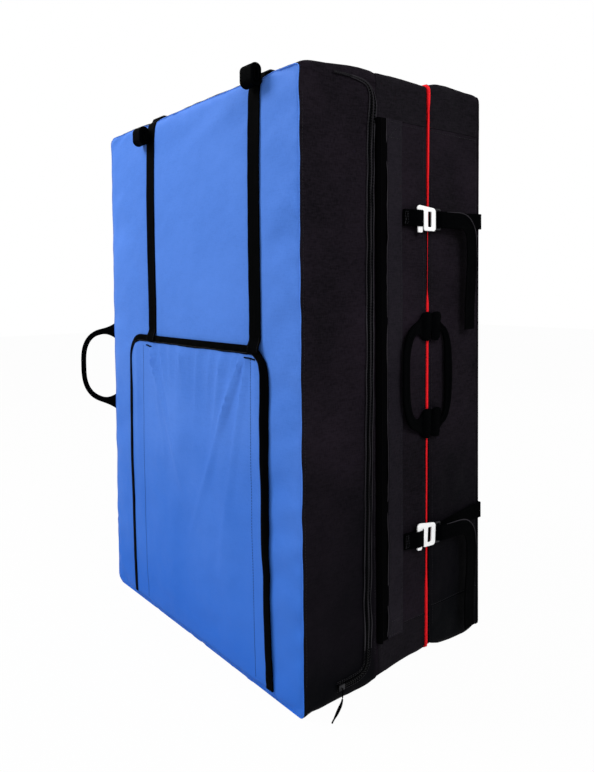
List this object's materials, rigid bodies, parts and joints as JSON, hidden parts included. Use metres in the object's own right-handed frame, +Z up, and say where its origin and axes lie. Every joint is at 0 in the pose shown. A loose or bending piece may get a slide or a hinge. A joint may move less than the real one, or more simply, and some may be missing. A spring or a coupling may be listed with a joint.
{
  "type": "bouldering crash pad",
  "caption": "Folding foam crash pad for bouldering: hinged slabs in cloth covers, with a zipped cover, a drop-down load flap, hooked closing straps, carry handles and a shoulder harness.",
  "frame": {"origin": "middle of the folded pad's footprint, on the floor it stands on, under the middle slab", "axes": "+Z up along the slabs' long side, +X to the pad's right side with the hooks and the front slab's hinge, -Y out of the blue front face"},
  "size_m": [0.7679, 0.4973, 1.0106],
  "materials": {
    "blue_cloth": "woven, matt",
    "black_cloth": "heavy woven nylon, matt",
    "end_cap_cloth": "coated woven nylon, matt",
    "red_cloth": "woven, matt",
    "webbing": "woven webbing, matt",
    "closed_cell_foam": "closed-cell foam",
    "core_foam": "open-cell foam",
    "white_hook_metal": "white powder coat, satin",
    "zip_metal": "dark enamel",
    "buckle_plastic": "moulded, matt"
  },
  "bodies": {
    "slab_middle": {"middle_face_sheet": "black_cloth", "middle_back_sheet": "red_cloth", "middle_top_cap": "end_cap_cloth", "middle_bottom_cap": "end_cap_cloth", "middle_right_panel": "black_cloth", "middle_left_panel": "black_cloth", "middle_face_foam": "closed_cell_foam", "middle_core_foam": "core_foam", "middle_back_foam": "closed_cell_foam", "middle_zip": "webbing", "closure_flap": "black_cloth", "fastener_strip": "webbing", "right_hinge_middle_leaf": "black_cloth", "left_hinge_middle_leaf": "black_cloth", "catch_loop_upper": "webbing", "catch_loop_lower": "webbing"},
    "slab_front": {"front_face_sheet": "blue_cloth", "front_back_sheet": "black_cloth", "front_side_band": "black_cloth", "front_face_foam": "closed_cell_foam", "front_core_foam": "core_foam", "front_back_foam": "closed_cell_foam", "front_zip": "webbing", "right_hinge_front_leaf": "black_cloth", "strap_buckle_near": "buckle_plastic", "strap_buckle_far": "buckle_plastic"},
    "slab_rear": {"rear_face_sheet": "red_cloth", "rear_back_sheet": "black_cloth", "rear_top_cap": "end_cap_cloth", "rear_bottom_cap": "end_cap_cloth", "rear_right_panel": "black_cloth", "rear_left_panel": "black_cloth", "rear_face_foam": "closed_cell_foam", "rear_core_foam": "core_foam", "rear_back_foam": "closed_cell_foam", "left_hinge_rear_leaf": "black_cloth", "rear_strap_upper": "webbing", "rear_strap_lower": "webbing", "shoulder_pad_left": "black_cloth", "shoulder_pad_right": "black_cloth", "harness_web_left": "webbing", "harness_web_right": "webbing", "harness_yoke": "black_cloth"},
    "load_flap": {"load_flap": "blue_cloth", "flap_binding": "webbing", "front_strap_near": "webbing", "front_strap_far": "webbing", "strap_roll_near": "webbing", "strap_roll_far": "webbing"},
    "zip_slider": {"zip_slider": "zip_metal"},
    "zip_puller": {"zip_puller": "webbing"},
    "hook_upper": {"hook_upper": "white_hook_metal"},
    "hook_lower": {"hook_lower": "white_hook_metal"},
    "handle_left": {"handle_left": "webbing"},
    "handle_middle": {"handle_middle": "webbing"},
    "handle_rear": {"handle_rear": "webbing"}
  },
  "joints": [
    {"name": "fold_front", "type": "hinge", "parent": "slab_middle", "child": "slab_front", "pos_m": [0.34, -0.053, 0.5], "axis": [0, 0, -1], "range_deg": [-180, 0]},
    {"name": "fold_rear", "type": "hinge", "parent": "slab_middle", "child": "slab_rear", "pos_m": [-0.3345, 0.074, 0.5], "axis": [0, 0, -1], "range_deg": [-180, 0]},
    {"name": "load_flap_drop", "type": "hinge", "parent": "slab_front", "child": "load_flap", "pos_m": [0.014, -0.217, 0.01], "axis": [1, 0, 0], "range_deg": [0, 88]},
    {"name": "zip_slide", "type": "slide", "parent": "slab_front", "child": "zip_slider", "axis": [0, 1, 0], "range_m": [0, 0.036]},
    {"name": "zip_puller_swing", "type": "hinge", "parent": "zip_slider", "child": "zip_puller", "pos_m": [0.3357, -0.14, 0.024], "axis": [0, -1, 0], "range_deg": [0, 60]},
    {"name": "hook_upper_swing", "type": "hinge", "parent": "slab_rear", "child": "hook_upper", "pos_m": [0.338, 0.0945, 0.7765], "axis": [0, 0, 1], "range_deg": [0, 95]},
    {"name": "hook_lower_swing", "type": "hinge", "parent": "slab_rear", "child": "hook_lower", "pos_m": [0.338, 0.0945, 0.2215], "axis": [0, 0, 1], "range_deg": [0, 95]},
    {"name": "handle_left_swing", "type": "hinge", "parent": "slab_front", "child": "handle_left", "pos_m": [-0.3311, -0.206, 0.486], "axis": [0, 0, 1], "range_deg": [-85, 30]},
    {"name": "handle_middle_swing", "type": "hinge", "parent": "slab_middle", "child": "handle_middle", "pos_m": [0.3311, 0.063, 0.5035], "axis": [0, 0, 1], "range_deg": [0, 80]},
    {"name": "handle_rear_swing", "type": "hinge", "parent": "slab_rear", "child": "handle_rear", "pos_m": [0.3311, 0.088, 0.5035], "axis": [0, 0, 1], "range_deg": [-80, 0]}
  ]
}
